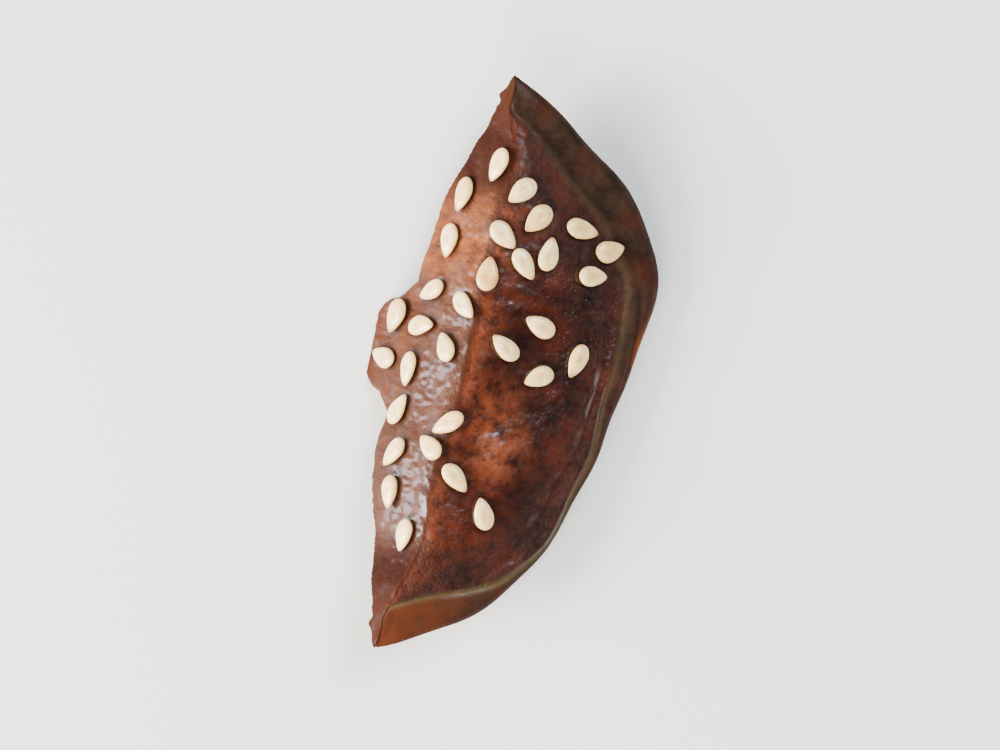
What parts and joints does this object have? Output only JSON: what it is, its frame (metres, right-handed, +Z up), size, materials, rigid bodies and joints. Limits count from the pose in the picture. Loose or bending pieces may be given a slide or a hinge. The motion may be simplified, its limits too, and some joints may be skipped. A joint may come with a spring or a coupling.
{
  "type": "shiitake mushroom half",
  "caption": "Knife-cut half of a braised shiitake cap, skin side up, with gills, a trimmed stem stub and sesame seeds stuck to its glaze.",
  "frame": {"origin": "middle of the outline in plan, on the surface that the half rests on", "axes": "+Y along the knife cut, +X from the cut towards the rim, +Z up through the skin"},
  "size_m": [0.0248, 0.0548, 0.0101],
  "materials": {
    "mushroom": "gloss",
    "sesame": "satin"
  },
  "bodies": {
    "root": {"mushroom_half": "mushroom", "sesame_seed_01": "sesame", "sesame_seed_02": "sesame", "sesame_seed_03": "sesame", "sesame_seed_04": "sesame", "sesame_seed_05": "sesame", "sesame_seed_06": "sesame", "sesame_seed_07": "sesame", "sesame_seed_08": "sesame", "sesame_seed_09": "sesame", "sesame_seed_10": "sesame", "sesame_seed_11": "sesame", "sesame_seed_12": "sesame", "sesame_seed_13": "sesame", "sesame_seed_14": "sesame", "sesame_seed_15": "sesame", "sesame_seed_16": "sesame", "sesame_seed_17": "sesame", "sesame_seed_18": "sesame", "sesame_seed_19": "sesame", "sesame_seed_20": "sesame", "sesame_seed_21": "sesame", "sesame_seed_22": "sesame", "sesame_seed_23": "sesame", "sesame_seed_24": "sesame", "sesame_seed_25": "sesame", "sesame_seed_26": "sesame", "sesame_seed_27": "sesame", "sesame_seed_28": "sesame", "sesame_seed_29": "sesame", "sesame_seed_30": "sesame", "sesame_seed_31": "sesame"}
  },
  "joints": []
}
